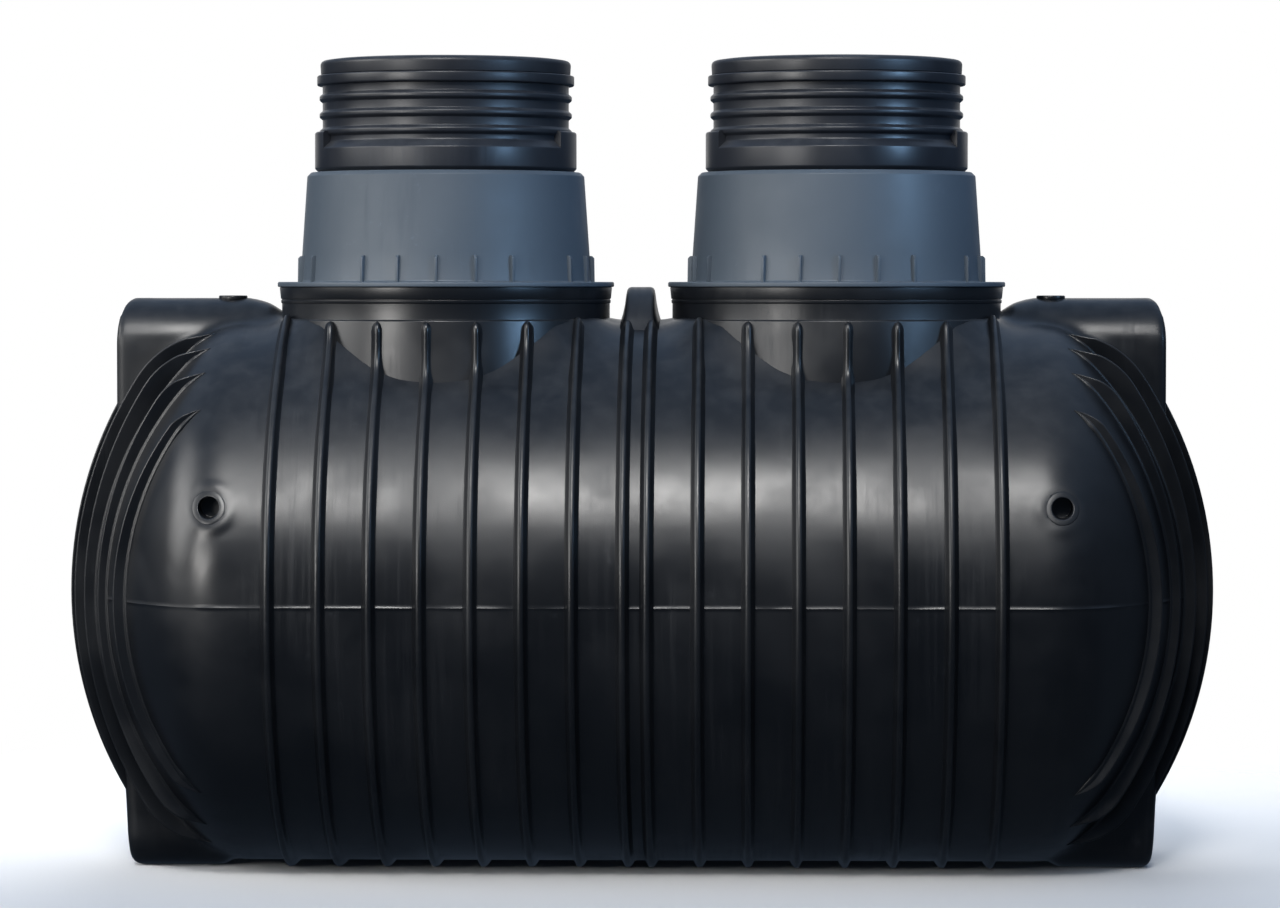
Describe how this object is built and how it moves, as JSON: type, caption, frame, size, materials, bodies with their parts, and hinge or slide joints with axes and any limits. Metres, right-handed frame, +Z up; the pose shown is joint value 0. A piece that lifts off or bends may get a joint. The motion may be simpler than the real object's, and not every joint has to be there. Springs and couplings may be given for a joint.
{
  "type": "underground rainwater tank",
  "caption": "Horizontal ribbed underground rainwater tank with domed ends, end pipe stubs, feet, lifting sockets, a middle lug and access shafts made of tapered cones, ribbed risers and lids.",
  "frame": {"origin": "on the floor, under the middle of the tank", "axes": "+X along the barrel to the right as seen from the front, +Y to the back, +Z up"},
  "size_m": [2.9474, 1.44, 2.074],
  "materials": {
    "tank_black": "satin",
    "cone_grey": "satin",
    "riser_black": "satin",
    "lid_black": "satin"
  },
  "bodies": {
    "root": {"back_left_lifting_socket": "tank_black", "back_right_lifting_socket": "tank_black", "front_left_lifting_socket": "tank_black", "front_right_lifting_socket": "tank_black", "left_end_fins": "tank_black", "left_end_lower": "tank_black", "left_end_upper": "tank_black", "left_foot": "tank_black", "left_neck": "tank_black", "left_neck_flange": "tank_black", "left_pipe_stub": "tank_black", "left_ring_rib_1": "tank_black", "left_ring_rib_2": "tank_black", "left_ring_rib_3": "tank_black", "left_ring_rib_4": "tank_black", "left_ring_rib_5": "tank_black", "left_ring_rib_6": "tank_black", "left_ring_rib_7": "tank_black", "left_ring_rib_8": "tank_black", "left_shaft_cone": "cone_grey", "left_shaft_lid": "lid_black", "left_shaft_riser": "riser_black", "left_vent_boss": "tank_black", "lower_barrel": "tank_black", "middle_lug": "tank_black", "right_end_fins": "tank_black", "right_end_lower": "tank_black", "right_end_upper": "tank_black", "right_foot": "tank_black", "right_neck": "tank_black", "right_neck_flange": "tank_black", "right_pipe_stub": "tank_black", "right_ring_rib_1": "tank_black", "right_ring_rib_2": "tank_black", "right_ring_rib_3": "tank_black", "right_ring_rib_4": "tank_black", "right_ring_rib_5": "tank_black", "right_ring_rib_6": "tank_black", "right_ring_rib_7": "tank_black", "right_ring_rib_8": "tank_black", "right_shaft_cone": "cone_grey", "right_shaft_lid": "lid_black", "right_shaft_riser": "riser_black", "right_vent_boss": "tank_black", "upper_barrel": "tank_black"}
  },
  "joints": []
}
